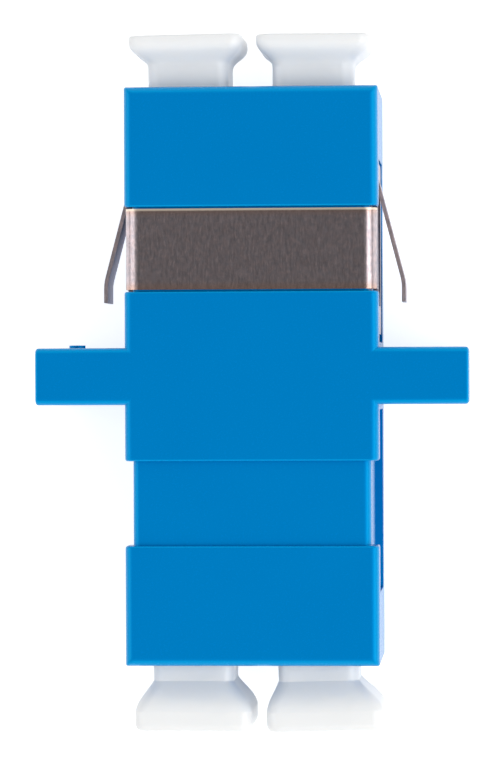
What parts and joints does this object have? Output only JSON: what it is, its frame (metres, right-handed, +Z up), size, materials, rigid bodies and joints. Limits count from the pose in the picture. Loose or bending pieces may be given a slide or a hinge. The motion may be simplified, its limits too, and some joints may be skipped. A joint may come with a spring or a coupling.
{
  "type": "lc fibre adapter",
  "caption": "Flanged blue coupling for fibre optic plugs with a sprung steel panel clip, split ceramic alignment sleeves and translucent dust caps.",
  "frame": {"origin": "middle of the wide face on the latch side, in the plane halfway between the two plugs", "axes": "+X along the flange, +Y along the fibres towards the half with the clip, +Z up out of the wide face that the clip's strap crosses"},
  "size_m": [0.022, 0.0355, 0.0093],
  "materials": {
    "housing_blue": "moulded PBT, fine satin",
    "holder_blue": "moulded PBT, fine satin",
    "zirconia": "ground and polished",
    "clip_steel": "rolled spring strip, fine grain",
    "cap_white": "translucent polyethylene, waxy"
  },
  "bodies": {
    "adapter": {"adapter_housing": "housing_blue", "sleeve_holder_left_clip_end": "holder_blue", "sleeve_holder_left_plain_end": "holder_blue", "sleeve_holder_right_clip_end": "holder_blue", "sleeve_holder_right_plain_end": "holder_blue", "alignment_sleeve_left": "zirconia", "alignment_sleeve_right": "zirconia", "panel_clip": "clip_steel"},
    "cap_left_clip_end": {"dust_cap_left_clip_end": "cap_white"},
    "cap_left_plain_end": {"dust_cap_left_plain_end": "cap_white"},
    "cap_right_clip_end": {"dust_cap_right_clip_end": "cap_white"},
    "cap_right_plain_end": {"dust_cap_right_plain_end": "cap_white"}
  },
  "joints": [
    {"name": "cap_left_clip_end_pull", "type": "slide", "parent": "adapter", "child": "cap_left_clip_end", "axis": [0, 1, 0], "range_m": [0, 0.012]},
    {"name": "cap_left_plain_end_pull", "type": "slide", "parent": "adapter", "child": "cap_left_plain_end", "axis": [0, -1, 0], "range_m": [0, 0.012]},
    {"name": "cap_right_clip_end_pull", "type": "slide", "parent": "adapter", "child": "cap_right_clip_end", "axis": [0, 1, 0], "range_m": [0, 0.012]},
    {"name": "cap_right_plain_end_pull", "type": "slide", "parent": "adapter", "child": "cap_right_plain_end", "axis": [0, -1, 0], "range_m": [0, 0.012]}
  ]
}
